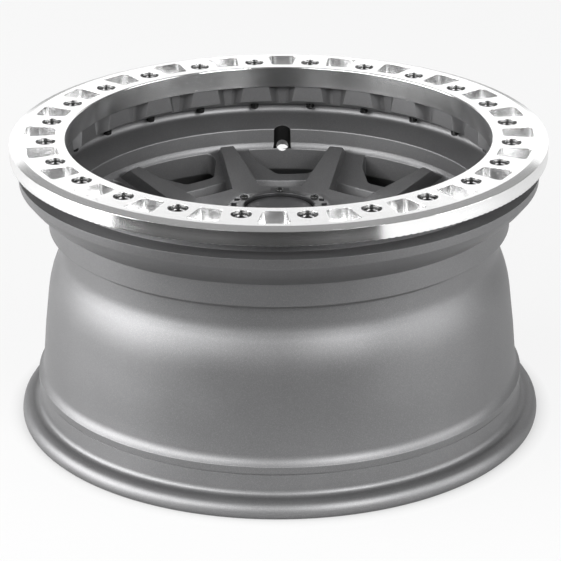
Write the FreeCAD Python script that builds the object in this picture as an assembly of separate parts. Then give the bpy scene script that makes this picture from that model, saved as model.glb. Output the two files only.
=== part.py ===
import FreeCAD, Part
import math
import os

# A seventeen by nine inch beadlock wheel, standing on its inboard lip with the clamp ring on top.
# Millimetres, Z along the wheel axis, floor at zero, +Y to the valve hole.
# A section point is (radius, height). A plan point is (along the radius, across it).

# Tyre side of the rim, from the floor up
SEAT_R = 218.4               # a 17 inch bead seat
SEAT_W = 14.0
SEAT_ANGLE = 5.0
LIP_RISE = 17.2              # flange edge beyond the bead seat
LIP_FLAT_W = 10.4            # flat that the wheel stands on
LIP_ROUND = 3.2
LIP_EDGE_H = 5.0
LIP_CURL = 9.8
LIP_FILLET = 5.6
LIP_INNER_BOW = 1.6
HUMP_RISE = 1.2
HUMP_STEP = 0.5
HUMP_W = 6.4
HUMP_RELIEF_W = 1.0          # tool relief at the foot of the hump, seen as a dark line
HUMP_RELIEF_DEPTH = 0.6
BARREL_FOOT_Z = 50.0
BARREL_FOOT_IN = 3.6         # depths below the bead seat, going up the barrel
WAIST_IN = 10.8
NECK_LEAD_IN = 18.5
NECK_IN = 22.3
BAND_IN = 13.2
FOOT_BOW = 1.1
BARREL_BOW = 0.5
WAIST_BOW = 1.05
NECK_BOW = 0.75

# Tyre side, from the ring seat down
SEAT_Z = 241.8               # the clamp ring lands here
PILOT_H = 9.1
PILOT_IN = 5.4               # the ring's pilot, below the bead seat
SHELF_RISE = 12.2            # the tyre bead is squeezed between this shelf and the ring
SHELF_T = 8.5
SHELF_DRAFT = 0.8
FLARE_H = 23.8
FLARE_BOW = 1.7
BAND_H = 18.9
BAND_ROUND = 1.6
NECK_FILLET_H = 5.0
NECK_FILLET_BOW = 1.3
NECK_H = 14.0
NECK_LEAD_H = 13.5
WAIST_H = 28.5

# Hub side of the rim
WALL = 5.0
LAND_W = 23.0                # ring seat, from the pilot inwards
BOSS_H = 15.3
BOSS_UNDER_SLOPE = 0.5       # the undersides of the bolt bosses fall outwards
GROOVE_IN = 3.5
GROOVE_FLOOR_DROP = 32.5     # all drops are below the ring seat
GROOVE_FILLET_W = 4.5
GROOVE_FILLET_H = 5.2
GROOVE_FILLET_BOW = 1.2
SHOULDER_W = 26.8            # shoulder wall, from the pilot inwards
SHOULDER_DROP = 41.5
SHOULDER_ROUND = 1.5
SHOULDER_DRAFT = 0.6
PANEL_W = 2.6                # ledge between the shoulder wall and the windows
PANEL_H = 20.4
LEDGE_FILLET = 5.0
LEDGE_FILLET_BOW = 1.3

# Beadlock bolts
BOLT_COUNT = 24
BOLT_IN = 8.0                # bolt circle inside the pilot
BOLT_R = 4.0                 # M8
BOLT_HEAD_R = 6.5
BOLT_HEAD_H = 8.0
BOLT_LENGTH = 35.0
BOLT_SOCKET_FLATS = 6.0
BOLT_SOCKET_DEPTH = 4.0
BOLT_CLEARANCE = 0.5
BOLT_HEAD_CLEARANCE = 2.1
BOLT_HEAD_SINK = 3.0         # bolt heads sit this far below the ring face
THREAD_CLEARANCE = 0.05

# Scallops between the bolt bosses
SCALLOP_TOP_W = 26.9
SCALLOP_BOTTOM_W = 17.5
SCALLOP_BACK_TOP_W = 12.8
SCALLOP_BACK_BOTTOM_W = 8.8
SCALLOP_DEPTH = 11.5
SCALLOP_CORNER = 1.6

# Clamp ring
RING_T = 19.5
RING_OVERHANG = 2.0          # ring bore inside the bosses
RING_RISE = 18.6             # outer edge beyond the bead seat
RING_BEVEL_W = 7.5
RING_BEVEL_H = 2.3
RING_CLAMP_H = 5.0           # underside of the clamping flange above the ring seat
RING_EDGE = 0.8
POCKET_IN = 8.0              # pocket walls inside and outside the bolt circle
POCKET_OUT = 19.0
POCKET_IN_W = 19.4
POCKET_OUT_W = 27.6
POCKET_CORNER = 3.2
POCKET_DEPTH = 13.0

# Spokes and web
SPOKE_COUNT = 10
FACE_SLOPE = 0.305           # the spoke faces fall towards the hub
FACE_DROP = 50.7
FACE_END_IN = 14.5           # the spoke faces stop this far inside the windows' outer wall
SPOKE_END_W = 13.6
SPOKE_TAPER = 0.214
SPOKE_ROOT_R = 60.0
WEB_SLOPE = 0.30
WEB_DROP = 15.0              # the web lies this far below the spoke faces
HUB_FLAT_R = 104.5           # straight hub edges between the spokes
HOLLOW_W = 30.1              # hollow between the hub edge and the ridge of the web
HOLLOW_FLOOR = 24.2          # above the mounting pad
HOLLOW_DRAFT = 5.0
SILL_W = 10.8                # from the ridge of the web to the window
WINDOW_LEFT_W = 33.5
WINDOW_RIGHT_W = 45.5
WINDOW_SILL_LEFT = 4.5
WINDOW_SILL_RIGHT = 26.5
WINDOW_ELBOW_R = 165.0       # where the side walls of a window bend
WINDOW_ELBOW_LEFT = 25.0
WINDOW_ELBOW_RIGHT = 42.0
WINDOW_CORNER = 8.0

# Hub
PAD_Z = 118.8                # mounting face
PAD_R = 80.0
BACK_KNEE_R = 132.0
BACK_KNEE_H = 18.2
CAP_SEAT_DROP = 52.8
BOSS_TOP_R = 46.5
BOSS_FLARE = 3.5
BOSS_FLARE_H = 7.5
BELL_R = 99.0
BELL_BOW = 6.2
HUB_BORE_R = 39.05
HUB_BORE_H = 41.2
LUG_COUNT = 5
LUG_CIRCLE_R = 63.5
LUG_HOLE_R = 7.5
LUG_SEAT_R = 12.0
LUG_SEAT_ANGLE = 60.0
LUG_POCKET_R = 15.5
LUG_SEAT_H = 24.2
RELIEF_R = 11.0
RELIEF_H = 26.0

# Valve hole
VALVE_IN = 0.5               # pocket centre inside the windows' outer wall
VALVE_POCKET_R = 8.5
VALVE_POCKET_H = 40.0
VALVE_FLOOR_DROP = 60.3
VALVE_HOLE_R = 5.65
VALVE_HOLE_OUT = 6.5         # where the hole meets the pocket floor, from the pocket centre
VALVE_TILT = 50.0            # from the wheel axis
VALVE_REACH = 40.0

# Centre cap
CAP_OPENING_R = 31.0
CAP_RING_T = 3.5
CAP_RING_W = 7.0
CAP_TAB_W = 12.0
CAP_TAB_HALF = 8.7
CAP_EDGE = 0.6
CAP_SCREW_COUNT = 6
CAP_SCREW_OUT = 5.5          # screw circle outside the opening
CAP_SCREW_R = 2.0            # M4
CAP_SCREW_HEAD_R = 3.8
CAP_SCREW_HEAD_H = 2.2
CAP_SCREW_CROWN_R = 2.1
CAP_SCREW_EDGE_H = 0.9
CAP_SCREW_LENGTH = 10.0
CAP_SCREW_SOCKET = 2.5
CAP_SCREW_SOCKET_DEPTH = 1.3
CAP_SPARE_COUNT = 5
CAP_SPARE_OUT = 9.3
CAP_SPARE_R = 3.0
CAP_SPARE_DEPTH = 2.4
CAP_FLANGE_W = 2.6
CAP_FLANGE_T = 3.0
CAP_SKIRT_W = 0.5
CAP_SKIRT_WALL = 2.0
CAP_SKIRT_H = 23.0
CAP_DISC_T = 2.0
CAP_DISC_BEVEL = 0.8
CAP_GAP = 0.15

# Turned arcs are cut into chords that stray from them by no more than this
ARC_ERROR = 0.2
SEAM_TURN = 11.0             # keeps the seam of turned faces off the cuts through the wheel

# How far cutters run past the faces they cut, and joined solids into each other
PAST = 1.0
OVERLAP = 4.0

# Derived places
PILOT_R = SEAT_R - PILOT_IN
BOSS_R = PILOT_R - LAND_W
BOLT_CIRCLE_R = PILOT_R - BOLT_IN
SHOULDER_R = PILOT_R - SHOULDER_W
SHOULDER_FOOT_R = SHOULDER_R - SHOULDER_DRAFT
PANEL_R = SHOULDER_FOOT_R - PANEL_W
FACE_END_R = PANEL_R - FACE_END_IN
FACE_END_Z = SEAT_Z - FACE_DROP
RIDGE_R = HUB_FLAT_R + HOLLOW_W
RING_TOP_Z = SEAT_Z + RING_T
BOLT_SEAT_Z = RING_TOP_Z - BOLT_HEAD_SINK - BOLT_HEAD_H
CAP_SEAT_Z = SEAT_Z - CAP_SEAT_DROP
CAP_SCREW_CIRCLE_R = CAP_OPENING_R + CAP_SCREW_OUT
WINDOW_STEP = 360.0 / SPOKE_COUNT
BOLT_STEP = 360.0 / BOLT_COUNT
QUARTER_BOW = 1.0 - math.cos(math.radians(45.0))
ORIGIN = FreeCAD.Vector(0, 0, 0)
AXIS = FreeCAD.Vector(0, 0, 1)


def section(r, z):
    """A point of a section, in the half plane of the valve hole."""
    return FreeCAD.Vector(0, r, z)


def plan(u, v, z=0.0):
    """A plan point: u along the radius to the valve hole, v to its right."""
    return FreeCAD.Vector(v, u, z)


def line(a, b):
    return Part.LineSegment(a, b).toShape()


def bowed(a, b, bow):
    """Points on the arc from a to b whose middle stands off the chord, to its left, by the bow."""
    if not bow:
        return [a, b]
    chord = b - a
    side = FreeCAD.Vector(0, -chord.z, chord.y).normalize()
    arc = Part.Arc(a, (a + b) * 0.5 + side * bow, b).toShape()
    return arc.discretize(Deflection=ARC_ERROR)


def polygon(points):
    """A closed wire of straight edges."""
    return Part.makePolygon(points + points[:1])


def turned(steps):
    """The solid swept about the wheel axis by a closed section of (radius, height, bow) steps."""
    points = []
    for (r0, z0, _), (r1, z1, bow) in zip(steps, steps[1:] + steps[:1]):
        points += bowed(section(r0, z0), section(r1, z1), bow)[:-1]
    return Part.Face(polygon(points)).revolve(ORIGIN, AXIS, 360).rotate(ORIGIN, AXIS, SEAM_TURN)


def rounded_wire(corners):
    """A closed wire through (point, radius) corners, each rounded by its radius."""
    edges = []
    ends = []
    count = len(corners)
    for i, (corner, radius) in enumerate(corners):
        before = (corners[i - 1][0] - corner).normalize()
        after = (corners[(i + 1) % count][0] - corner).normalize()
        half = before.getAngle(after) / 2.0
        start = corner + before * (radius / math.tan(half))
        stop = corner + after * (radius / math.tan(half))
        centre = corner + (before + after).normalize() * (radius / math.sin(half))
        middle = centre + (corner - centre).normalize() * radius
        edges.append(Part.Arc(start, middle, stop).toShape())
        ends.append((start, stop))
    for i in range(count):
        edges.append(line(ends[i - 1][1], ends[i][0]))
    return Part.Wire(Part.__sortEdges__(edges))


def prism(wire, bottom, top):
    """The wire's outline standing between two heights."""
    face = Part.Face(wire)
    face.translate(FreeCAD.Vector(0, 0, bottom))
    return face.extrude(FreeCAD.Vector(0, 0, top - bottom))


def cylinder(radius, bottom, top, r=0.0):
    return Part.makeCylinder(radius, top - bottom, plan(r, 0, bottom), AXIS)


def around(shape, count, offset=0.0):
    """Copies of the shape spread evenly about the axis, the first turned by the offset."""
    copies = []
    for i in range(count):
        copy = shape.copy()
        copy.rotate(ORIGIN, AXIS, offset + i * 360.0 / count)
        copies.append(copy)
    return copies


def face_height(r):
    """Height of the spoke faces at a radius."""
    return FACE_END_Z - FACE_SLOPE * (FACE_END_R - r)


def web_height(r):
    """Height of the web between the spokes at a radius."""
    return FACE_END_Z - WEB_DROP + WEB_SLOPE * (r - FACE_END_R)


def panel_foot_z():
    """Lower edge of the windows' outer wall."""
    return web_height(PANEL_R) - PANEL_H


# Wheel casting

def barrel_heights():
    """Heights of the barrel foot, the waist, the neck's lead and the neck."""
    band_foot = SEAT_Z - PILOT_H - SHELF_T - FLARE_H - BAND_H
    neck = band_foot - BAND_ROUND - NECK_FILLET_H - NECK_H
    return BARREL_FOOT_Z, neck - NECK_LEAD_H - WAIST_H, neck - NECK_LEAD_H, neck


def rim_outside():
    """Steps up the tyre side, from the floor to the ring seat."""
    lip_r = SEAT_R + LIP_RISE
    foot_r = SEAT_R + SEAT_W * math.tan(math.radians(SEAT_ANGLE))
    curl_z = LIP_EDGE_H + LIP_CURL
    foot_z = curl_z + LIP_FILLET
    seat_top = foot_z + SEAT_W
    barrel_z, waist_z, lead_z, neck_z = barrel_heights()
    band_r = SEAT_R - BAND_IN
    band_foot = neck_z + NECK_H + NECK_FILLET_H
    shelf_z = SEAT_Z - PILOT_H
    shelf_r = SEAT_R + SHELF_RISE
    return [
        (lip_r - LIP_ROUND - LIP_FLAT_W, 0, -LIP_INNER_BOW),
        (lip_r - LIP_ROUND, 0, 0),
        (lip_r, LIP_ROUND, -QUARTER_BOW * LIP_ROUND),
        (lip_r, LIP_EDGE_H, 0),
        (lip_r - LIP_CURL, curl_z, -QUARTER_BOW * LIP_CURL),
        (foot_r + LIP_FILLET, curl_z, 0),
        (foot_r, foot_z, QUARTER_BOW * LIP_FILLET),
        (SEAT_R, seat_top - HUMP_RELIEF_W, 0),
        (SEAT_R - HUMP_RELIEF_DEPTH, seat_top - HUMP_RELIEF_W, 0),
        (SEAT_R - HUMP_RELIEF_DEPTH, seat_top + HUMP_STEP, 0),
        (SEAT_R + HUMP_RISE, seat_top + HUMP_STEP, 0),
        (SEAT_R + HUMP_RISE, seat_top + HUMP_STEP + HUMP_W, 0),
        (SEAT_R - BARREL_FOOT_IN, barrel_z, FOOT_BOW),
        (SEAT_R - WAIST_IN, waist_z, -BARREL_BOW),
        (SEAT_R - NECK_LEAD_IN, lead_z, -WAIST_BOW),
        (SEAT_R - NECK_IN, neck_z, NECK_BOW),
        (SEAT_R - NECK_IN, neck_z + NECK_H, 0),
        (band_r - BAND_ROUND, band_foot, NECK_FILLET_BOW),
        (band_r, band_foot + BAND_ROUND, -QUARTER_BOW * BAND_ROUND),
        (band_r, shelf_z - SHELF_T - FLARE_H, 0),
        (shelf_r - SHELF_DRAFT, shelf_z - SHELF_T, -FLARE_BOW),
        (shelf_r, shelf_z, 0),
        (PILOT_R, shelf_z, 0),
        (PILOT_R, SEAT_Z, 0),
    ]


def rim_inside():
    """Steps down the hub side, from the ring seat to the floor."""
    groove_r = PILOT_R - GROOVE_IN
    boss_foot = SEAT_Z - BOSS_H
    groove_z = SEAT_Z - GROOVE_FLOOR_DROP
    barrel_z, waist_z, lead_z, _ = barrel_heights()
    return [
        (BOSS_R, SEAT_Z, 0),
        (BOSS_R, boss_foot, 0),
        (groove_r, boss_foot - BOSS_UNDER_SLOPE * (groove_r - BOSS_R), 0),
        (groove_r, groove_z + GROOVE_FILLET_H, 0),
        (groove_r - GROOVE_FILLET_W, groove_z, GROOVE_FILLET_BOW),
        (SHOULDER_R + SHOULDER_ROUND, SEAT_Z - SHOULDER_DROP, 0),
        (SHOULDER_R, SEAT_Z - SHOULDER_DROP - SHOULDER_ROUND, -QUARTER_BOW * SHOULDER_ROUND),
        (SHOULDER_FOOT_R, web_height(SHOULDER_FOOT_R), 0),
        (PANEL_R, web_height(PANEL_R), 0),
        (PANEL_R, panel_foot_z(), 0),
        (SEAT_R - NECK_LEAD_IN - WALL, lead_z, 0),
        (SEAT_R - WAIST_IN - WALL, waist_z, WAIST_BOW),
        (SEAT_R - BARREL_FOOT_IN - WALL, barrel_z, BARREL_BOW),
        (SEAT_R - WALL, LIP_EDGE_H + LIP_CURL + LIP_FILLET, 0),
    ]


def ledge_fillet():
    """The rounded corner between the shoulder wall and the web."""
    floor_r = SHOULDER_FOOT_R - LEDGE_FILLET
    foot_z = web_height(SHOULDER_FOOT_R)
    outer = SHOULDER_FOOT_R + PAST
    return turned([
        (floor_r, foot_z - OVERLAP, 0), (outer, foot_z - OVERLAP, 0),
        (outer, foot_z + LEDGE_FILLET, 0), (SHOULDER_FOOT_R, foot_z + LEDGE_FILLET, 0),
        (floor_r, web_height(floor_r), LEDGE_FILLET_BOW)])


def back_steps():
    """Steps down the back of the disc, from the rim to the mounting pad."""
    return [(PANEL_R + OVERLAP, panel_foot_z(), 0), (PANEL_R, panel_foot_z(), 0),
            (BACK_KNEE_R, PAD_Z + BACK_KNEE_H, 0), (PAD_R, PAD_Z, 0)]


def face_envelope():
    """Everything the hub and the spokes may fill."""
    foot_z = web_height(PANEL_R) + PAST
    return turned([
        (0, PAD_Z, 0), (0, CAP_SEAT_Z, 0), (BOSS_TOP_R, CAP_SEAT_Z, 0),
        (BOSS_TOP_R + BOSS_FLARE, CAP_SEAT_Z - BOSS_FLARE_H, 0),
        (BELL_R, face_height(BELL_R), -BELL_BOW), (FACE_END_R, FACE_END_Z, 0),
        (PANEL_R - PAST, foot_z, 0), (PANEL_R + OVERLAP, foot_z, 0)] + back_steps())


def spoke_outline():
    """Plan outline of one spoke, wider towards the hub."""
    past = PANEL_R + OVERLAP
    root_half = (SPOKE_END_W + SPOKE_TAPER * (FACE_END_R - SPOKE_ROOT_R)) / 2.0
    past_half = (SPOKE_END_W - SPOKE_TAPER * (past - FACE_END_R)) / 2.0
    return polygon([plan(SPOKE_ROOT_R, -root_half), plan(past, -past_half),
                    plan(past, past_half), plan(SPOKE_ROOT_R, root_half)])


def hub_outline():
    """Plan outline of the hub, a straight edge in every window."""
    corner_r = HUB_FLAT_R / math.cos(math.radians(WINDOW_STEP / 2.0))
    angles = [math.radians(WINDOW_STEP * (i + 0.5)) for i in range(SPOKE_COUNT)]
    return polygon([plan(corner_r * math.cos(a), corner_r * math.sin(a)) for a in angles])


def face():
    """Hub and spokes, cut from the envelope."""
    spoke = prism(spoke_outline(), PAD_Z - PAST, SEAT_Z)
    hub = prism(hub_outline(), PAD_Z - PAST, SEAT_Z)
    return face_envelope().common(hub.multiFuse(around(spoke, SPOKE_COUNT, WINDOW_STEP / 2.0)))


def window():
    """One window, its left side swept back to leave a wide web."""
    sill = RIDGE_R + SILL_W
    top = math.sqrt(PANEL_R ** 2 - WINDOW_RIGHT_W ** 2)
    corners = [(plan(PANEL_R - PAST, -WINDOW_LEFT_W), WINDOW_CORNER / 2.0),
               (plan(PANEL_R + VALVE_POCKET_R, VALVE_POCKET_R), WINDOW_CORNER),
               (plan(top, WINDOW_RIGHT_W), WINDOW_CORNER),
               (plan(WINDOW_ELBOW_R, WINDOW_ELBOW_RIGHT), WINDOW_CORNER),
               (plan(sill, WINDOW_SILL_RIGHT), WINDOW_CORNER),
               (plan(sill, -WINDOW_SILL_LEFT), WINDOW_CORNER),
               (plan(WINDOW_ELBOW_R, -WINDOW_ELBOW_LEFT), WINDOW_CORNER)]
    outline = prism(rounded_wire(corners), PAD_Z, SEAT_Z)
    return outline.common(cylinder(PANEL_R, PAD_Z, SEAT_Z))


def web_hollow():
    """The hollow between the hub edge and the ridge of the web."""
    half = (HUB_FLAT_R + HOLLOW_DRAFT) * math.tan(math.radians(WINDOW_STEP / 2.0))
    inner = HUB_FLAT_R - OVERLAP
    floor = PAD_Z + HOLLOW_FLOOR
    profile = [plan(inner, -half, SEAT_Z), plan(inner, -half, floor),
               plan(RIDGE_R - HOLLOW_DRAFT, -half, floor),
               plan(RIDGE_R, -half, web_height(RIDGE_R)), plan(RIDGE_R, -half, SEAT_Z)]
    return Part.Face(polygon(profile)).extrude(plan(0, 2.0 * half))


def web():
    """The lower web that ties the spokes together, with its windows and hollows."""
    outer = PANEL_R + OVERLAP
    solid = turned([(PAD_R, web_height(PAD_R), 0), (outer, web_height(outer), 0)] + back_steps())
    solid = solid.fuse(ledge_fillet())
    return solid.cut(around(web_hollow(), SPOKE_COUNT) + around(window(), SPOKE_COUNT))


def scallop_wire(front_w, back_w, z):
    """Plan outline of a scallop at a height, its back corners cut off, open to the cavity."""
    front_r = BOSS_R - PAST
    back_r = BOSS_R + SCALLOP_DEPTH
    side_v = back_w / 2.0 + SCALLOP_CORNER * (front_w - back_w) / 2.0 / (back_r - front_r)
    half = [plan(front_r, front_w / 2.0, z), plan(back_r - SCALLOP_CORNER, side_v, z),
            plan(back_r, back_w / 2.0 - SCALLOP_CORNER, z)]
    return polygon(half + [FreeCAD.Vector(-point.x, point.y, point.z) for point in reversed(half)])


def scallop():
    """One hollow between two bolt bosses, narrowing downwards and outwards."""
    low = SEAT_Z - BOSS_H - BOSS_UNDER_SLOPE * SCALLOP_DEPTH - PAST
    wires = [scallop_wire(SCALLOP_BOTTOM_W, SCALLOP_BACK_BOTTOM_W, low),
             scallop_wire(SCALLOP_TOP_W, SCALLOP_BACK_TOP_W, SEAT_Z + PAST)]
    return Part.makeLoft(wires, True, True)


def valve_cut():
    """Pocket and hole for the valve stem."""
    centre_r = PANEL_R - VALVE_IN
    floor = SEAT_Z - VALVE_FLOOR_DROP
    pocket = cylinder(VALVE_POCKET_R, floor, floor + VALVE_POCKET_H, centre_r)
    tilt = math.radians(VALVE_TILT)
    way = plan(math.sin(tilt), 0, -math.cos(tilt))
    start = plan(centre_r + VALVE_HOLE_OUT, 0, floor) - way * VALVE_HOLE_R
    return pocket.fuse(Part.makeCylinder(VALVE_HOLE_R, VALVE_REACH, start, way))


def lug_cut():
    """One lug nut pocket with its conical seat and stud hole."""
    seat_z = PAD_Z + LUG_SEAT_H
    drop = (LUG_SEAT_R - LUG_HOLE_R) / math.tan(math.radians(LUG_SEAT_ANGLE / 2.0))
    pocket = cylinder(LUG_POCKET_R, seat_z, CAP_SEAT_Z, LUG_CIRCLE_R)
    foot = plan(LUG_CIRCLE_R, 0, seat_z - drop)
    seat = Part.makeCone(LUG_HOLE_R, LUG_SEAT_R, drop, foot, AXIS)
    hole = cylinder(LUG_HOLE_R, PAD_Z - PAST, seat_z, LUG_CIRCLE_R)
    return pocket.multiFuse([seat, hole])


def hub_cuts():
    """The bore through the hub, the seats of the centre cap and the hollows behind the pad."""
    bore_top = PAD_Z + HUB_BORE_H
    skirt_r = CAP_OPENING_R + CAP_SKIRT_W + CAP_GAP
    flange_r = CAP_OPENING_R + CAP_FLANGE_W + CAP_GAP
    relief = cylinder(RELIEF_R, PAD_Z - PAST, PAD_Z + RELIEF_H, LUG_CIRCLE_R)
    cuts = around(relief, LUG_COUNT, 180.0 / LUG_COUNT)
    return cuts + [cylinder(HUB_BORE_R, PAD_Z - PAST, bore_top),
                   cylinder(skirt_r, bore_top - PAST, CAP_SEAT_Z + PAST),
                   cylinder(flange_r, CAP_SEAT_Z - CAP_FLANGE_T, CAP_SEAT_Z + PAST)]


def cap_screw_holes():
    reach = CAP_SEAT_Z + CAP_RING_T - CAP_SCREW_LENGTH - PAST
    hole = cylinder(CAP_SCREW_R + THREAD_CLEARANCE, reach, CAP_SEAT_Z + PAST, CAP_SCREW_CIRCLE_R)
    return around(hole, CAP_SCREW_COUNT)


def wheel():
    boss_foot = SEAT_Z - BOSS_H - BOSS_UNDER_SLOPE * LAND_W
    bolt_hole = cylinder(BOLT_R + THREAD_CLEARANCE, boss_foot, SEAT_Z + PAST, BOLT_CIRCLE_R)
    body = turned(rim_outside() + rim_inside()).multiFuse([web(), face()])
    cuts = around(scallop(), BOLT_COUNT) + around(bolt_hole, BOLT_COUNT, BOLT_STEP / 2.0)
    cuts += around(lug_cut(), LUG_COUNT) + hub_cuts() + cap_screw_holes() + [valve_cut()]
    return body.cut(cuts).removeSplitter()


# Clamp ring and its bolts

def ring_blank():
    inner = BOSS_R - RING_OVERHANG
    outer = SEAT_R + RING_RISE
    clamp_z = SEAT_Z + RING_CLAMP_H
    return turned([
        (inner, SEAT_Z, 0), (inner, RING_TOP_Z - RING_EDGE, 0), (inner + RING_EDGE, RING_TOP_Z, 0),
        (outer - RING_BEVEL_W, RING_TOP_Z, 0), (outer, RING_TOP_Z - RING_BEVEL_H, 0),
        (outer, clamp_z, 0), (PILOT_R, clamp_z, 0), (PILOT_R, SEAT_Z, 0)])


def ring_pocket():
    """One trapezoid pocket milled between two bolts."""
    inner = BOLT_CIRCLE_R - POCKET_IN
    outer = BOLT_CIRCLE_R + POCKET_OUT
    corners = [(plan(inner, -POCKET_IN_W / 2.0), POCKET_CORNER),
               (plan(outer, -POCKET_OUT_W / 2.0), POCKET_CORNER),
               (plan(outer, POCKET_OUT_W / 2.0), POCKET_CORNER),
               (plan(inner, POCKET_IN_W / 2.0), POCKET_CORNER)]
    return prism(rounded_wire(corners), RING_TOP_Z - POCKET_DEPTH, RING_TOP_Z + PAST)


def ring_hole():
    """One counterbored bolt hole."""
    head_r = BOLT_HEAD_R + BOLT_HEAD_CLEARANCE
    bore = cylinder(head_r, BOLT_SEAT_Z, RING_TOP_Z + PAST, BOLT_CIRCLE_R)
    shank = cylinder(BOLT_R + BOLT_CLEARANCE, SEAT_Z - PAST, RING_TOP_Z, BOLT_CIRCLE_R)
    return bore.fuse(shank)


def beadlock_ring():
    cuts = around(ring_pocket(), BOLT_COUNT) + around(ring_hole(), BOLT_COUNT, BOLT_STEP / 2.0)
    return ring_blank().cut(cuts)


def socket_cut(flats, depth, top, r):
    """A hexagon socket sunk into a screw head."""
    corner = flats / math.sqrt(3.0)
    angles = [math.radians(60.0 * i) for i in range(6)]
    outline = polygon([plan(r + corner * math.cos(a), corner * math.sin(a)) for a in angles])
    return prism(outline, top - depth, top + PAST)


def beadlock_bolts():
    top = BOLT_SEAT_Z + BOLT_HEAD_H
    head = cylinder(BOLT_HEAD_R, BOLT_SEAT_Z, top, BOLT_CIRCLE_R)
    shank = cylinder(BOLT_R, BOLT_SEAT_Z - BOLT_LENGTH, BOLT_SEAT_Z, BOLT_CIRCLE_R)
    bolt = head.fuse(shank).cut(socket_cut(BOLT_SOCKET_FLATS, BOLT_SOCKET_DEPTH, top, BOLT_CIRCLE_R))
    return Part.makeCompound(around(bolt, BOLT_COUNT, BOLT_STEP / 2.0))


# Centre cap

def cap_tab():
    """A lug of the cap ring that carries one fastener."""
    inner = CAP_OPENING_R + CAP_FLANGE_W
    outer = CAP_OPENING_R + CAP_TAB_W
    outline = polygon([plan(inner, -CAP_TAB_HALF), plan(outer, -CAP_TAB_HALF),
                       plan(outer, CAP_TAB_HALF), plan(inner, CAP_TAB_HALF)])
    top = CAP_SEAT_Z + CAP_RING_T
    return prism(outline, CAP_SEAT_Z, top).common(cylinder(outer, CAP_SEAT_Z, top))


def cap_ring():
    """The bezel that clamps the cap, on tabs with six screws and four spare holes."""
    top = CAP_SEAT_Z + CAP_RING_T
    tabs = around(cap_tab(), CAP_SCREW_COUNT) + around(cap_tab(), CAP_SPARE_COUNT)
    body = cylinder(CAP_OPENING_R + CAP_RING_W, CAP_SEAT_Z, top).multiFuse(tabs).removeSplitter()
    bore = cylinder(CAP_OPENING_R, CAP_SEAT_Z - PAST, top + PAST)
    rim_r = CAP_OPENING_R + CAP_EDGE
    bevel = Part.makeCone(CAP_OPENING_R, rim_r, CAP_EDGE, plan(0, 0, top - CAP_EDGE), AXIS)
    screw_hole = cylinder(CAP_SCREW_R + CAP_GAP, CAP_SEAT_Z - PAST, top + PAST, CAP_SCREW_CIRCLE_R)
    spare_r = CAP_OPENING_R + CAP_SPARE_OUT
    spare = cylinder(CAP_SPARE_R, top - CAP_SPARE_DEPTH, top + PAST, spare_r)
    spares = around(spare, CAP_SPARE_COUNT)[1:]
    return body.cut([bore, bevel] + around(screw_hole, CAP_SCREW_COUNT) + spares)


def cap_cup():
    """The moulded cup whose flange the cap ring holds down."""
    low = CAP_SEAT_Z - CAP_FLANGE_T
    floor = CAP_SEAT_Z - CAP_DISC_T
    skirt_r = CAP_OPENING_R + CAP_SKIRT_W
    foot = CAP_SEAT_Z - CAP_SKIRT_H
    flange = cylinder(CAP_OPENING_R + CAP_FLANGE_W, low, CAP_SEAT_Z)
    skirt = cylinder(skirt_r, foot, CAP_SEAT_Z - PAST)
    recess = cylinder(CAP_OPENING_R - CAP_EDGE + CAP_GAP, floor, CAP_SEAT_Z + PAST)
    hollow = cylinder(skirt_r - CAP_SKIRT_WALL, foot - PAST, floor - CAP_SKIRT_WALL)
    return flange.fuse(skirt).cut([recess, hollow])


def cap_disc():
    """The plain plate in the cup, its edge bevelled."""
    edge = CAP_OPENING_R - CAP_EDGE
    bevel_z = CAP_SEAT_Z - CAP_DISC_BEVEL
    return turned([(0, CAP_SEAT_Z - CAP_DISC_T, 0), (edge, CAP_SEAT_Z - CAP_DISC_T, 0),
                   (edge, bevel_z, 0), (edge - CAP_DISC_BEVEL, CAP_SEAT_Z, 0), (0, CAP_SEAT_Z, 0)])


def cap_screws():
    """Six button head screws on the cap ring."""
    seat = CAP_SEAT_Z + CAP_RING_T
    top = seat + CAP_SCREW_HEAD_H
    head = turned([(0, seat, 0), (CAP_SCREW_HEAD_R, seat, 0),
                   (CAP_SCREW_HEAD_R, seat + CAP_SCREW_EDGE_H, 0), (CAP_SCREW_CROWN_R, top, 0),
                   (0, top, 0)])
    head.translate(plan(CAP_SCREW_CIRCLE_R, 0))
    shank = cylinder(CAP_SCREW_R, seat - CAP_SCREW_LENGTH, seat, CAP_SCREW_CIRCLE_R)
    socket = socket_cut(CAP_SCREW_SOCKET, CAP_SCREW_SOCKET_DEPTH, top, CAP_SCREW_CIRCLE_R)
    return Part.makeCompound(around(head.fuse(shank).cut(socket), CAP_SCREW_COUNT))


def main():
    os.makedirs("parts", exist_ok=True)
    nodes = {
        "wheel": wheel(),
        "beadlock_ring": beadlock_ring(),
        "beadlock_bolts": beadlock_bolts(),
        "cap_ring": cap_ring(),
        "cap_cup": cap_cup(),
        "cap_disc": cap_disc(),
        "cap_screws": cap_screws(),
    }
    for name, shape in nodes.items():
        shape.exportStep("parts/" + name + ".step")
        box = shape.BoundBox
        print(name, shape.isValid(), len(shape.Solids), round(shape.Volume),
              round(box.XLength, 1), round(box.YLength, 1), round(box.ZMin, 1), round(box.ZMax, 1))


main()
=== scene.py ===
import logging
import math
from dataclasses import dataclass
from enum import Enum
from typing import Callable, Sequence

import bmesh
import bpy
import numpy as np
from mathutils import Matrix, Vector


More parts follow.
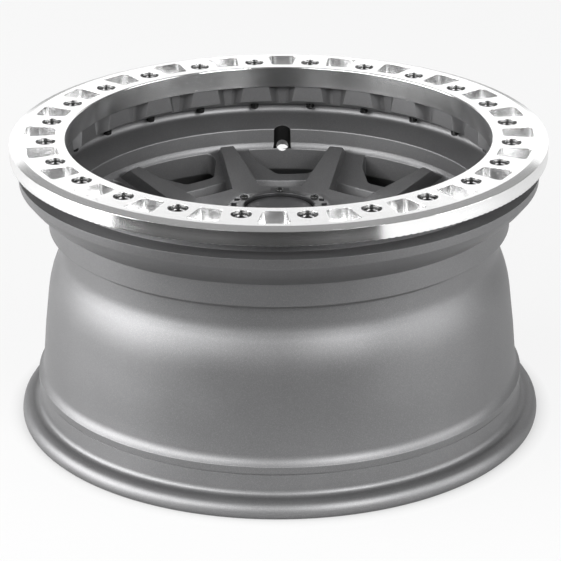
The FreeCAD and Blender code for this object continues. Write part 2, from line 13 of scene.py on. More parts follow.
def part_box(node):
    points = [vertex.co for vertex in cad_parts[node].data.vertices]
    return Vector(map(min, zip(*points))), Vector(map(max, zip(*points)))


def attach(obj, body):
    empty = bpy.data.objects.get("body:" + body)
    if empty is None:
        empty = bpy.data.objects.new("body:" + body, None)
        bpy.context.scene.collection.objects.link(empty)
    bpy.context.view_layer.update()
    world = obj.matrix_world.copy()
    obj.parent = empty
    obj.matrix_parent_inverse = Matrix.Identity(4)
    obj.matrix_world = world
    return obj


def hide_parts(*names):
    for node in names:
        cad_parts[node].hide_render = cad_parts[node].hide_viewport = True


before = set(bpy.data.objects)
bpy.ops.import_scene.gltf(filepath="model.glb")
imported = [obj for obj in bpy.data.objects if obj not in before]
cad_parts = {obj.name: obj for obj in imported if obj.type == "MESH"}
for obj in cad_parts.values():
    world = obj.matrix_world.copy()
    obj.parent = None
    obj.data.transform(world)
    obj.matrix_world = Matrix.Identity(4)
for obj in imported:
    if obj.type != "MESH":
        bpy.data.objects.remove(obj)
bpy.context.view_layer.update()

LOG = logging.getLogger("beadlock_wheel")
MM = 0.001
TURN = 2.0 * math.pi
BODY = "root"

Colour = tuple[float, float, float]
Ring = list[Vector]


class Slot(Enum):
    """Material slots of the record, one named with each piece."""

    PAINT = "gunmetal_paint"
    MACHINED = "machined_aluminium"
    STEEL = "black_steel"
    CUP = "black_plastic"
    PLATE = "grey_plastic"


class Value:
    """A node socket that takes part in Python arithmetic."""

    def __init__(self, graph: "Graph", socket: bpy.types.NodeSocket) -> None:
        """Wraps an output socket of a graph.

        Args:
            graph: The graph that the socket belongs to.
            socket: The output socket.
        """
        self.graph = graph
        self.socket = socket

    def math(self, operation: str, *others: object) -> "Value":
        """A Math node on this value.

        Args:
            operation: The Math node's operation.
            others: The second and third operands, values or numbers.

        Returns:
            The node's result.
        """
        node = self.graph.node("ShaderNodeMath", {"operation": operation},
                               dict(enumerate((self, *others))))
        return Value(self.graph, node.outputs[0])

    def __add__(self, other: object) -> "Value":
        """Sum."""
        return self.math("ADD", other)

    __radd__ = __add__

    def __mul__(self, other: object) -> "Value":
        """Product."""
        return self.math("MULTIPLY", other)

    __rmul__ = __mul__

    def __sub__(self, other: object) -> "Value":
        """Difference."""
        return self.math("SUBTRACT", other)

    def __rsub__(self, other: object) -> "Value":
        """Difference from a number."""
        return self.math("MULTIPLY", -1.0).math("ADD", other)

    def __truediv__(self, other: object) -> "Value":
        """Quotient."""
        return self.math("DIVIDE", other)

    def __pow__(self, other: object) -> "Value":
        """Power."""
        return self.math("POWER", other)

    def clamped(self) -> "Value":
        """The value held between zero and one."""
        return self.math("MAXIMUM", 0.0).math("MINIMUM", 1.0)


class Graph:
    """A shader or geometry node tree under construction."""

    def __init__(self, tree: bpy.types.NodeTree) -> None:
        """Starts an empty graph.

        Args:
            tree: The node tree to fill. Its nodes are removed first.
        """
        self.tree = tree
        tree.nodes.clear()

    def node(self, kind: str, settings: dict[str, object] | None = None,
             inputs: dict[object, object] | None = None) -> bpy.types.Node:
        """Adds a node.

        Args:
            kind: The node's type name.
            settings: Properties set before the sockets.
            inputs: Socket name or index to a value, an output socket or a Value.

        Returns:
            The new node.
        """
        made = self.tree.nodes.new(kind)
        for name, setting in (settings or {}).items():
            setattr(made, name, setting)
        for key, given in (inputs or {}).items():
            if isinstance(given, Value):
                given = given.socket
            if isinstance(given, bpy.types.NodeSocket):
                self.tree.links.new(given, made.inputs[key])
            else:
                made.inputs[key].default_value = given
        return made

    def value(self, kind: str, settings: dict[str, object] | None = None,
              inputs: dict[object, object] | None = None, output: object = 0) -> Value:
        """Adds a node and gives one of its outputs.

        Args:
            kind: The node's type name.
            settings: As for node.
            inputs: As for node.
            output: Name or index of the output.

        Returns:
            The output as a Value.
        """
        return Value(self, self.node(kind, settings, inputs).outputs[output])

    def mixed(self, factor: Value, low: Colour | Value, high: Colour) -> Value:
        """A colour between two colours.

        Args:
            factor: Zero for the first colour, one for the second.
            low: The first colour, linear.
            high: The second colour, linear.

        Returns:
            The mixed colour.
        """
        first = low if isinstance(low, Value) else (*low, 1.0)
        node = self.node("ShaderNodeMix", {"data_type": "RGBA"}, {0: factor, 6: first, 7: (*high, 1.0)})
        return Value(self, node.outputs[2])

    def flattened(self, place: Value) -> Value:
        """A place moved down into the plane of the floor.

        Args:
            place: Coordinates.

        Returns:
            The same with a height of zero.
        """
        return self.value("ShaderNodeVectorMath", {"operation": "MULTIPLY"}, {0: place, 1: (1.0, 1.0, 0.0)})

    def height(self, place: Value) -> Value:
        """The height of a place above the floor.

        Args:
            place: Coordinates.

        Returns:
            Its third coordinate.
        """
        return self.value("ShaderNodeSeparateXYZ", None, {0: place}, 2)

    def bumped(self, strength: float, height: Value) -> Value:
        """A normal that leans with a height.

        Args:
            strength: How much of the height counts.
            height: The height, where one stands for a tenth of a millimetre.

        Returns:
            The normal.
        """
        return self.value("ShaderNodeBump", None,
                          {"Strength": strength, "Distance": 0.1 * MM, "Height": height}, "Normal")

    def matt(self, grey: float) -> bpy.types.NodeSocket:
        """A matt grey surface.

        Args:
            grey: How light it is.

        Returns:
            The shader's output.
        """
        return self.node("ShaderNodeBsdfDiffuse", None, {"Color": (grey, grey, grey, 1.0)}).outputs[0]


def new_material(name: str) -> tuple[bpy.types.Material, Graph]:
    """Starts a material of nodes.

    Args:
        name: The material's name.

    Returns:
        The material and its empty graph.
    """
    made = bpy.data.materials.new(name)
    made.use_nodes = True
    return made, Graph(made.node_tree)


@dataclass(frozen=True)
class Finish:
    """A surface finish: two base colours and the constants of a Principled shader.

    The highlight of metal with anisotropy is turned by the share quarter_turn of a full turn, so that
    it stretches across the rings that the lathe leaves.
    """

    name: str
    dark: Colour
    light: Colour
    metallic: float
    roughness: float
    specular: float = 0.5
    anisotropy: float = 0.0
    quarter_turn: float = 0.25

    def material(self) -> bpy.types.Material:
        """Builds the material once and gives it again after that.

        Returns:
            The material of this finish.
        """
        known = bpy.data.materials.get(self.name)
        if known is not None:
            return known
        made, graph = new_material(self.name)
        place = graph.value("ShaderNodeTexCoord", output="Object")
        shader: dict[object, object] = {
            "Metallic": self.metallic, "Specular IOR Level": self.specular,
            "Anisotropic": self.anisotropy, "Anisotropic Rotation": self.quarter_turn}
        shader.update(self.varied(graph, place))
        surface = graph.node("ShaderNodeBsdfPrincipled", None, shader)
        graph.node("ShaderNodeOutputMaterial", None, {"Surface": surface.outputs[0]})
        return made

    def varied(self, graph: Graph, place: Value) -> dict[object, object]:
        """What changes over the surface.

        Args:
            graph: The material's graph.
            place: Object coordinates.

        Returns:
            The varying inputs of the shader.
        """
        raise NotImplementedError


@dataclass(frozen=True)
class FlakedFinish(Finish):
    """Paint or oxide: sparkling flakes and grain over slow, faint clouds.

    The grain_scale is a share of flake_scale. The three other shares say how much of the light colour
    each part brings, and the two roughnesses how far each part moves the finish's own.
    """

    flake_scale: float = 2400.0
    flake_roughness: float = 0.06
    spark_power: float = 5.0
    spark_share: float = 0.5
    grain_scale: float = 0.6
    grain_share: float = 0.7
    grain_bump: float = 0.05
    cloud_scale: float = 18.0
    cloud_share: float = 0.3
    cloud_roughness: float = 0.06

    def varied(self, graph: Graph, place: Value) -> dict[object, object]:
        """Flakes, grain and clouds.

        Args:
            graph: The material's graph.
            place: Object coordinates.

        Returns:
            The varying inputs of the shader.
        """
        cell = graph.value("ShaderNodeTexVoronoi", {"feature": "F1"},
                           {"Vector": place, "Scale": self.flake_scale}, "Color")
        spark = graph.value("ShaderNodeSeparateColor", None, {0: cell})
        cloud = graph.value("ShaderNodeTexNoise", None, {
            "Vector": place, "Scale": self.cloud_scale, "Detail": 3.0}, "Fac")
        grain = graph.value("ShaderNodeTexNoise", None, {
            "Vector": place, "Scale": self.flake_scale * self.grain_scale, "Detail": 2.0}, "Fac")
        shine = ((spark ** self.spark_power) * self.spark_share + grain * self.grain_share
                 + (cloud - 0.5) * self.cloud_share)
        rough = (self.roughness + (grain - 0.5) * self.flake_roughness
                 + (cloud - 0.5) * self.cloud_roughness)
        return {"Base Color": graph.mixed(shine.clamped(), self.dark, self.light),
                "Roughness": rough.clamped(), "Normal": graph.bumped(self.grain_bump, grain)}


@dataclass(frozen=True)
class WheelPaint(FlakedFinish):
    """The paint of the casting, with painted shade that makes it black inside the valve pocket."""

    pocket_y: float = 182.5 * MM
    pocket_r: float = 8.8 * MM
    pocket_floor: float = 181.0 * MM
    pocket_fade: float = 0.3 * MM
    pocket_shade_colour: Colour = (0.012, 0.012, 0.012)

    def varied(self, graph: Graph, place: Value) -> dict[object, object]:
        """The flaked look, with painted shade that darkens it inside the valve pocket.

        Args:
            graph: The material's graph.
            place: Object coordinates.

        Returns:
            The varying inputs of the shader.
        """
        looks = super().varied(graph, place)
        # Painted shade: the base colour goes black inside the valve pocket, where the hole lies in shade.
        reach = graph.value("ShaderNodeVectorMath", {"operation": "DISTANCE"}, {
            0: graph.flattened(place), 1: (0.0, self.pocket_y, 0.0)}, "Value")
        inside = (((self.pocket_r - reach) / self.pocket_fade).clamped()
                  * ((graph.height(place) - self.pocket_floor) / self.pocket_fade).clamped())
        looks["Base Color"] = graph.mixed(inside, looks["Base Color"], self.pocket_shade_colour)
        return looks


@dataclass(frozen=True)
class TurnedFinish(Finish):
    """Metal with the fine rings that the lathe leaves all round the wheel's axis.

    The band_scale is a share of turning_scale. The shades say how much of the light colour each part
    brings, and the two roughnesses how far each part moves the finish's own.
    """

    turning_scale: float = 2600.0
    turning_roughness: float = 0.12
    turning_bump: float = 0.03
    band_scale: float = 0.08
    band_roughness: float = 0.08
    least_shade: float = 0.35
    turning_shade: float = 0.4
    band_shade: float = 0.3

    def varied(self, graph: Graph, place: Value) -> dict[object, object]:
        """Fine rings and broad bands.

        Args:
            graph: The material's graph.
            place: Object coordinates.

        Returns:
            The varying inputs of the shader.
        """
        radius = graph.value("ShaderNodeVectorMath", {"operation": "LENGTH"},
                             {0: graph.flattened(place)}, "Value")
        track = graph.value("ShaderNodeCombineXYZ", None, {0: radius, 1: graph.height(place), 2: 0.0})
        fine = graph.value("ShaderNodeTexNoise", None, {
            "Vector": track, "Scale": self.turning_scale, "Detail": 2.0}, "Fac")
        band = graph.value("ShaderNodeTexNoise", None, {
            "Vector": track, "Scale": self.turning_scale * self.band_scale, "Detail": 1.0}, "Fac")
        rough = (self.roughness + (fine - 0.5) * self.turning_roughness
                 + (band - 0.5) * self.band_roughness)
        shade = (self.least_shade + fine * self.turning_shade + band * self.band_shade).clamped()
        return {"Base Color": graph.mixed(shade, self.dark, self.light),
                "Roughness": rough.clamped(), "Normal": graph.bumped(self.turning_bump, fine)}


PAINT = WheelPaint("gunmetal paint", (0.115, 0.115, 0.117), (0.20, 0.20, 0.203),
                   metallic=0.85, roughness=0.5)
MACHINED = TurnedFinish("machined aluminium", (0.62, 0.62, 0.62), (0.84, 0.84, 0.84),
                        metallic=1.0, roughness=0.2, anisotropy=0.75)
BLACK_OXIDE = FlakedFinish("black oxide", (0.008, 0.008, 0.008), (0.035, 0.035, 0.035),
                           metallic=0.6, roughness=0.24, specular=0.35,
                           flake_scale=2500.0, flake_roughness=0.1)
CAP_PAINT = FlakedFinish("cap paint", (0.03, 0.03, 0.031), (0.07, 0.07, 0.072),
                         metallic=0.8, roughness=0.36, specular=0.4)
CUP_BLACK = FlakedFinish("cup black", (0.006, 0.006, 0.006), (0.014, 0.014, 0.014),
                         metallic=0.0, roughness=0.5, specular=0.12,
                         flake_scale=2000.0, flake_roughness=0.05)
PLATE_GREY = TurnedFinish("plate grey", (0.035, 0.035, 0.037), (0.085, 0.085, 0.088),
                          metallic=0.7, roughness=0.45, specular=0.25, turning_scale=1800.0)


def new_object(name: str, mesh: bpy.types.Mesh) -> bpy.types.Object:
    """Puts a mesh into the scene as an object at the origin.

    Args:
        name: The piece's name.
        mesh: Its mesh, already in place.

    Returns:
        The object.
    """
    made = bpy.data.objects.new(name, mesh)
    bpy.context.scene.collection.objects.link(made)
    return made


def dress(piece: bpy.types.Object, finish: Finish, slot: Slot, *nodes: str) -> None:
    """Gives a finished piece its material and body, and hides the nodes it stands for.

    Args:
        piece: The piece.
        finish: Its finish.
        slot: The record's slot; not used.
        nodes: Names of the CAD nodes that it replaces.
    """
    piece.data.materials.clear()
    piece.data.materials.append(finish.material())
    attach(piece, BODY)
    if nodes:
        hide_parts(*nodes)
    LOG.info("%s: %d faces", piece.name, len(piece.data.polygons))


@dataclass
class EasedNode:
    """A CAD node's shape with its facets smoothed and its sharp edges eased.

    Points closer than weld are joined, faces that meet at less than flat become one, and a face with
    more than most_sides corners is cut into triangles. Edges sharper than eased_from are rounded, and
    faces that meet at more than crease don't share a normal. These three angles are in degrees. The
    cast face is what lies between the radii face_inner and face_outer and above the height face_low.
    """

    node: str
    finish: Finish
    slot: Slot
    edge: float
    face_edge: float = 0.0
    eased_from: float = 32.0
    crease: float = 32.0
    weld: float = 0.01 * MM
    flat: float = 0.2
    most_sides: int = 12
    face_inner: float = 58.0 * MM
    face_outer: float = 184.5 * MM
    face_low: float = 150.0 * MM
    segments: int = 2

    def build(self) -> bpy.types.Object:
        """Copies the node, joins its facets and rounds its edges.

        Returns:
            The finished piece.
        """
        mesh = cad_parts[self.node].data.copy()
        mesh.name = self.node
        shape = bmesh.new()
        shape.from_mesh(mesh)
        bmesh.ops.remove_doubles(shape, verts=shape.verts, dist=self.weld)
        bmesh.ops.dissolve_limit(shape, angle_limit=math.radians(self.flat),
                                 verts=shape.verts, edges=shape.edges)
        many = [face for face in shape.faces if len(face.verts) > self.most_sides]
        bmesh.ops.triangulate(shape, faces=many)
        for face in shape.faces:
            face.smooth = True
        shape.to_mesh(mesh)
        shape.free()
        piece = new_object("eased_" + self.node, mesh)
        self._ease(piece)
        dress(piece, self.finish, self.slot, self.node)
        return piece

    def _ease(self, piece: bpy.types.Object) -> None:
        """Rounds the sharp edges and settles the shading.

        Args:
            piece: The merged copy.
        """
        widest = max(self.edge, self.face_edge)
        self._weigh(piece.data, widest)
        bevel = piece.modifiers.new("edge", "BEVEL")
        bevel.width = widest
        bevel.segments = self.segments
        bevel.limit_method = "WEIGHT"
        bevel.use_clamp_overlap = False
        apply_modifiers(piece)
        piece.data.set_sharp_from_angle(angle=math.radians(self.crease))
        TurnedNormals(piece.data, self.crease).settle()

    def _weigh(self, mesh: bpy.types.Mesh, widest: float) -> None:
        """Gives each sharp edge its rounding, wider on the cast face than elsewhere.

        Args:
            mesh: The merged copy.
            widest: The rounding of an edge of weight one.
        """
        shape = bmesh.new()
        shape.from_mesh(mesh)
        weight = shape.edges.layers.float.new("bevel_weight_edge")
        for edge in shape.edges:
            if edge.calc_face_angle(0.0) > math.radians(self.eased_from):
                middle = (edge.verts[0].co + edge.verts[1].co) / 2.0
                on_face = self.face_inner < middle.xy.length < self.face_outer and middle.z > self.face_low
                edge[weight] = (self.face_edge if on_face and self.face_edge else self.edge) / widest
        shape.to_mesh(mesh)
        shape.free()


class TurnedNormals:
    """Corner normals led by the large faces, and even all round on turned faces.

    A face is turned if its normal leaves the plane through the axis by less than the sine sideways.
    Two normals are one if they agree to one part in normal_steps.
    """

    sideways = 0.06
    normal_steps = 500.0

    def __init__(self, mesh: bpy.types.Mesh, crease: float, ring_members: int = 60,
                 grid: float = 0.01 * MM) -> None:
        """Reads the mesh.

        Args:
            mesh: The mesh, with smooth faces.
            crease: Faces that meet at more than this many degrees don't share a normal.
            ring_members: A circle with at least this many points counts as turned.
            grid: Points whose radius and height agree to this lie on one circle.
        """
        self.mesh = mesh
        self.limit = math.cos(math.radians(crease))
        self.points = self._read(mesh.vertices, "co", 3)
        self.normals = self._read(mesh.polygons, "normal", 3)
        self.centres = self._read(mesh.polygons, "center", 3)
        self.areas = self._areas(mesh, grid)
        self.corner_points = self._read(mesh.loops, "vertex_index", 1, np.int32)[:, 0]
        sizes = self._read(mesh.polygons, "loop_total", 1, np.int32)[:, 0]
        self.corner_faces = np.repeat(np.arange(len(mesh.polygons)), sizes)
        key = np.round(np.c_[np.hypot(self.points[:, 0], self.points[:, 1]), self.points[:, 2]] / grid)
        _, ring, count = np.unique(key.astype(np.int64), axis=0, return_inverse=True, return_counts=True)
        self.ring = ring.ravel()
        self.in_ring = count[self.ring] >= ring_members

    @staticmethod
    def _read(items: object, name: str, width: int, kind: type = np.float32) -> np.ndarray:
        """One attribute of all items, a row for each.

        Args:
            items: Vertices, faces or corners.
            name: The attribute.
            width: How many numbers each item has.
            kind: Their type.

        Returns:
            The table.
        """
        table = np.empty(len(items) * width, kind)
        items.foreach_get(name, table)
        return table.reshape(-1, width)

    def _areas(self, mesh: bpy.types.Mesh, grid: float) -> np.ndarray:
        """How much each face leads: the area of all faces in its plane.

        Args:
            mesh: The mesh.
            grid: Planes whose heights agree to this are one.

        Returns:
            One area for each face.
        """
        height = (self.normals * self.centres).sum(1)[:, None] / grid
        plane = np.round(np.c_[self.normals * self.normal_steps, height]).astype(np.int64)
        patch = np.unique(plane, axis=0, return_inverse=True)[1].ravel()
        return np.bincount(patch, self._read(mesh.polygons, "area", 1)[:, 0])[patch]

    def settle(self) -> None:
        """Writes the corner normals."""
        outward = self._outward(self.centres)
        across = np.c_[-outward[:, 1], outward[:, 0], np.zeros(len(outward))]
        turned = np.abs((self.normals * across).sum(1)) < self.sideways
        even = turned[self.corner_faces] & self.in_ring[self.corner_points]
        group = np.where(even, self.ring[self.corner_points], self.corner_points + len(self.points))
        radial = np.c_[(self.normals * outward).sum(1), np.zeros(len(outward)), self.normals[:, 2]]
        local = np.where(even[:, None], radial[self.corner_faces], self.normals[self.corner_faces])
        weight = self.areas[self.corner_faces]
        order = np.argsort(group, kind="stable")
        ends = np.flatnonzero(np.diff(group[order])) + 1
        made = np.empty((len(order), 3), np.float32)
        for corners in np.split(order, ends):
            here = local[corners]
            near = (here @ here.T) > self.limit
            made[corners] = near @ (here * weight[corners][:, None])
        spread = self._outward(self.points)[self.corner_points]
        turned_back = np.c_[spread[:, 0] * made[:, 0], spread[:, 1] * made[:, 0], made[:, 2]]
        made = np.where(even[:, None], turned_back, made)
        made /= np.maximum(np.linalg.norm(made, axis=1), 1e-20)[:, None]
        self.mesh.normals_split_custom_set(made.tolist())

    @staticmethod
    def _outward(places: np.ndarray) -> np.ndarray:
        """Unit vectors away from the wheel's axis.

        Args:
            places: A table of points.

        Returns:
            A table of directions.
        """
        flat = places * np.array((1.0, 1.0, 0.0))
        return flat / np.maximum(np.linalg.norm(flat, axis=1), 1e-9)[:, None]


def apply_modifiers(piece: bpy.types.Object) -> None:
    """Turns a piece's evaluated shape into its plain mesh.

    Args:
        piece: The piece, whose modifiers are then removed.
    """
    bpy.context.view_layer.update()
    graph = bpy.context.evaluated_depsgraph_get()
    made = bpy.data.meshes.new_from_object(piece.evaluated_get(graph))
    piece.modifiers.clear()
    piece.data = made


def circle(radius: float | Callable[[float], float], z: float, count: int) -> Ring:
    """Points round the origin at a height.

    Args:
        radius: The radius, or a function that gives it from the angle.
        z: The height.
        count: How many points.

    Returns:
        The points, anticlockwise.
    """
    points = []
    for i in range(count):
        angle = TURN * i / count
        reach = radius(angle) if callable(radius) else radius
        points.append(Vector((reach * math.cos(angle), reach * math.sin(angle), z)))
    return points


def hexagon(flats: float) -> Callable[[float], float]:
    """Radius of a hexagon as a function of the angle.

    Args:
        flats: Distance across its flats.

    Returns:
        The function.
    """
    sixth = TURN / 6.0
    return lambda angle: flats / 2.0 / math.cos((angle % sixth) - sixth / 2.0)


def stacked(name: str, rings: Sequence[Ring], crease: float = 35.0) -> bpy.types.Mesh:
    """A closed mesh through rings of equally many points, from the bottom round to the inside.

    Args:
        name: The mesh's name.
        rings: The rings in order, outside anticlockwise.
        crease: Edges sharper than this many degrees stay sharp.

    Returns:
        The mesh.
    """
    shape = bmesh.new()
    levels = [[shape.verts.new(point) for point in ring] for ring in rings]
    for low, high in zip(levels, levels[1:]):
        for i in range(len(low)):
            j = (i + 1) % len(low)
            shape.faces.new((low[i], low[j], high[j], high[i]))
    shape.faces.new(list(reversed(levels[0])))
    shape.faces.new(levels[-1])
    for face in shape.faces:
        face.smooth = True
    mesh = bpy.data.meshes.new(name)
    shape.to_mesh(mesh)
    shape.free()
    mesh.set_sharp_from_angle(angle=math.radians(crease))
    return mesh


def array_tree(name: str) -> bpy.types.GeometryNodeTree:
    """Geometry nodes that repeat a shape round the wheel's axis.

    Args:
        name: The tree's name.

    Returns:
        The tree, with inputs Geometry, Count, First angle and Material.
    """
    tree = bpy.data.node_groups.new(name, "GeometryNodeTree")
    graph = Graph(tree)
    for label, kind in (("Geometry", "NodeSocketGeometry"), ("Count", "NodeSocketInt"),
                        ("First angle", "NodeSocketFloat"), ("Material", "NodeSocketMaterial")):
        tree.interface.new_socket(label, in_out="INPUT", socket_type=kind)
    tree.interface.new_socket("Geometry", in_out="OUTPUT", socket_type="NodeSocketGeometry")
    given = graph.node("NodeGroupInput")
    points = graph.node("GeometryNodePoints", None, {"Count": given.outputs["Count"]})
    index = graph.value("GeometryNodeInputIndex")
    count = Value(graph, given.outputs["Count"])
    angle = index * TURN / count + Value(graph, given.outputs["First angle"])
    turn = graph.node("ShaderNodeCombineXYZ", None, {2: angle})
    placed = graph.node("GeometryNodeInstanceOnPoints", None, {
        "Points": points.outputs[0], "Instance": given.outputs["Geometry"],
        "Rotation": turn.outputs[0]})
    real = graph.node("GeometryNodeRealizeInstances", None, {0: placed.outputs[0]})
    painted = graph.node("GeometryNodeSetMaterial", None, {
        "Geometry": real.outputs[0], "Material": given.outputs["Material"]})
    graph.node("NodeGroupOutput", None, {0: painted.outputs[0]})
    return tree


def repeat_round(piece: bpy.types.Object, count: int, first: float, finish: Finish) -> None:
    """Repeats a piece round the wheel's axis and makes the result its plain mesh.

    Args:
        piece: One of the shapes, in place.
        count: How many there are.
        first: Angle that the first one is turned by.
        finish: The finish of all of them.
    """
    modifier = piece.modifiers.new("repeat", "NODES")
    tree = array_tree(piece.name + " round")
    modifier.node_group = tree
    wanted = {"Count": count, "First angle": first, "Material": finish.material()}
    for item in tree.interface.items_tree:
        if item.in_out == "INPUT" and item.name in wanted:
            modifier[item.identifier] = wanted[item.name]
    apply_modifiers(piece)


@dataclass(frozen=True)
class SocketScrew:
    """Socket head screws on a circle, all alike.

    The knurl is the depth of the flutes round the head. A crown, the radius of the flat on top, makes
    it a button head. From tip_inner on the fields are shares: the tip's of the shank's radius, the
    thread's of the pitch, the chamfer of the head's radius and the mouth of the radius through the
    hexagon's corners. The last three are shares of the distance across flats.
    """

    name: str
    node: str
    count: int
    circle_r: float
    head_r: float
    head_h: float
    shank_r: float
    pitch: float
    flats: float
    socket_depth: float
    sides: int
    first: float = 0.0
    knurl: float = 0.0
    crown: float = 0.0
    thread_steps: int = 3
    dome_steps: int = 5
    tip_inner: float = 0.6
    tip_outer: float = 0.78
    lead_in: float = 0.7
    thread_depth: float = 0.55
    chamfer: float = 0.09
    mouth: float = 1.06
    mouth_depth: float = 0.08
    drill_r: float = 0.1
    drill_depth: float = 0.16

    def build(self) -> bpy.types.Object:
        """Makes one screw, repeats it and dresses the set.

        Returns:
            The set of screws as one piece.
        """
        low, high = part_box(self.node)
        mesh = stacked(self.name, self._rings(low.z, high.z))
        mesh.transform(Matrix.Translation((0.0, self.circle_r, 0.0)))
        piece = new_object(self.name, mesh)
        repeat_round(piece, self.count, self.first, BLACK_OXIDE)
        dress(piece, BLACK_OXIDE, Slot.STEEL, self.node)
        return piece

    def _rings(self, low: float, high: float) -> list[Ring]:
        """The rings of one screw, from its tip over the head into the socket.

        Args:
            low: Height of the tip.
            high: Height of the head's top.

        Returns:
            The rings.
        """
        tip = (self.tip_inner, self.tip_outer)
        rings = [circle(self.shank_r * share, low, self.sides) for share in tip]
        rings += self._thread(low, high - self.head_h)
        rings += self._head(high)
        return rings + self._socket(high)

    def _thread(self, low: float, seat: float) -> list[Ring]:
        """The rings of the threaded shank.

        Args:
            low: Height of the tip.
            seat: Height of the head's underside.

        Returns:
            The rings.
        """
        depth = self.thread_depth * self.pitch
        start = low + self.lead_in * self.pitch
        rows = int((seat - start) / self.pitch * self.thread_steps)
        rings = []
        for row in range(rows):
            z = start + row * self.pitch / self.thread_steps

            def reach(angle: float, z: float = z) -> float:
                """Radius of the thread at an angle and this height."""
                phase = (z / self.pitch - angle / TURN) % 1.0
                return self.shank_r - depth * abs(2.0 * phase - 1.0)

            rings.append(circle(reach, z, self.sides))
        rings.append(circle(self.shank_r - depth, seat, self.sides))
        return rings

    def _head(self, top: float) -> list[Ring]:
        """The rings of the head's outside.

        Args:
            top: Height of the head's top.

        Returns:
            The rings.
        """
        seat = top - self.head_h
        if self.crown:
            return self._dome(seat)
        flutes = self.sides / 2.0

        def side(angle: float) -> float:
            """Radius of the knurled side at an angle."""
            return self.head_r - self.knurl * (0.5 + 0.5 * math.cos(flutes * angle))

        edge = self.head_r - self.knurl
        chamfer = self.chamfer * self.head_r
        return [circle(edge, seat, self.sides), circle(side, seat + chamfer, self.sides),
                circle(side, top - 2.0 * chamfer, self.sides), circle(edge, top - chamfer, self.sides),
                circle(edge - chamfer, top, self.sides)]

    def _dome(self, seat: float) -> list[Ring]:
        """The rings of a button head, a quarter of an ellipse in section.

        Args:
            seat: Height of the head's underside.

        Returns:
            The rings.
        """
        rings = []
        for step in range(self.dome_steps + 1):
            angle = step / self.dome_steps * TURN / 4.0
            radius = self.crown + (self.head_r - self.crown) * math.cos(angle)
            rings.append(circle(radius, seat + self.head_h * math.sin(angle), self.sides))
        return rings

    def _socket(self, top: float) -> list[Ring]:
        """The rings of the hexagon socket, going down.

        Args:
            top: Height of the head's top.

        Returns:
            The rings.
        """
        corner_r = self.flats / math.sqrt(3.0)
        shape = hexagon(self.flats)
        floor = top - self.socket_depth
        return [circle(corner_r * self.mouth, top, self.sides),
                circle(shape, top - self.mouth_depth * self.flats, self.sides),
                circle(shape, floor, self.sides),
                circle(self.flats * self.drill_r, floor - self.flats * self.drill_depth, self.sides)]


@dataclass
class ClampTeeth:
    """The fine teeth under the clamping edge of the ring, each narrower at its foot."""

    count: int = 228
    outer: float = 236.9 * MM
    depth: float = 1.6 * MM
    length: float = 4.4 * MM
    height: float = 1.6 * MM
    sink: float = 0.7 * MM
    underside: float = 247.2 * MM
    foot_share: float = 0.8
    foot_h: float = 0.3 * MM

    def build(self) -> bpy.types.Object:
        """Makes one tooth, repeats it and dresses the row.

        Returns:
            The row of teeth as one piece.
        """
        low = self.underside - self.sink
        half = self.length / 2.0
        inner = self.outer - self.depth
        corners = ((-half, inner), (half, inner), (half, self.outer), (-half, self.outer))
        levels = ((low, self.foot_share), (low + self.foot_h, 1.0), (low + self.height, 1.0))
        rings = [[Vector((x * share, y, z)) for x, y in corners] for z, share in levels]
        piece = new_object("clamp_teeth", stacked("clamp_teeth", rings))
        repeat_round(piece, self.count, 0.0, MACHINED)
        dress(piece, MACHINED, Slot.MACHINED)
        return piece


@dataclass
class PhotoCamera:
    """The camera at the photograph's place, fitted to the rims of the wheel there."""

    distance: float = 2198.17 * MM
    elevation: float = math.radians(22.5388)
    roll: float = math.radians(-0.25008)
    turn: float = math.radians(1.037)
    target_x: float = 1.053 * MM
    target_z: float = 119.125 * MM
    focal_px: float = 2430.11
    frame_px: float = 561.0
    sensor: float = 36.0
    sight: float = 100.0

    def build(self) -> bpy.types.Object:
        """Sets the camera.

        Returns:
            The camera object.
        """
        turn = Matrix.Rotation(self.turn, 3, "Z")
        target = turn @ Vector((self.target_x, 0.0, self.target_z))
        eye = turn @ Vector((0.0, -self.distance * math.cos(self.elevation),
                             self.target_z + self.distance * math.sin(self.elevation)))
        ahead = (target - eye).normalized()
        right = ahead.cross(Vector((0.0, 0.0, 1.0))).normalized()
        above = right.cross(ahead)
        across = math.cos(self.roll) * right + math.sin(self.roll) * above
        upward = -math.sin(self.roll) * right + math.cos(self.roll) * above
        data = bpy.data.cameras.new("camera")
        data.sensor_width = self.sensor
        data.lens = self.focal_px * self.sensor / self.frame_px
        data.clip_end = self.sight
        camera = bpy.data.objects.new("camera", data)
        bpy.context.scene.collection.objects.link(camera)
        rotation = Matrix((across, upward, -ahead)).transposed().to_4x4()
        camera.matrix_world = Matrix.Translation(eye) @ rotation
        bpy.context.scene.camera = camera
        return camera


@dataclass(frozen=True)
class Softbox:
    """One rectangular lamp aimed at the wheel."""

    name: str
    place: tuple[float, float, float]
    width: float
    height: float
    power: float

    def build(self, target: Vector) -> bpy.types.Object:
        """Adds the lamp.

        Args:
            target: The point that it faces.

        Returns:
            The lamp object.
        """
        data = bpy.data.lights.new(self.name, "AREA")
        data.shape = "RECTANGLE"
        data.size, data.size_y = self.width, self.height
        data.energy = self.power
        lamp = bpy.data.objects.new(self.name, data)
        bpy.context.scene.collection.objects.link(lamp)
        lamp.location = self.place
        lamp.rotation_euler = (target - Vector(self.place)).to_track_quat("-Z", "Y").to_euler()
        return lamp


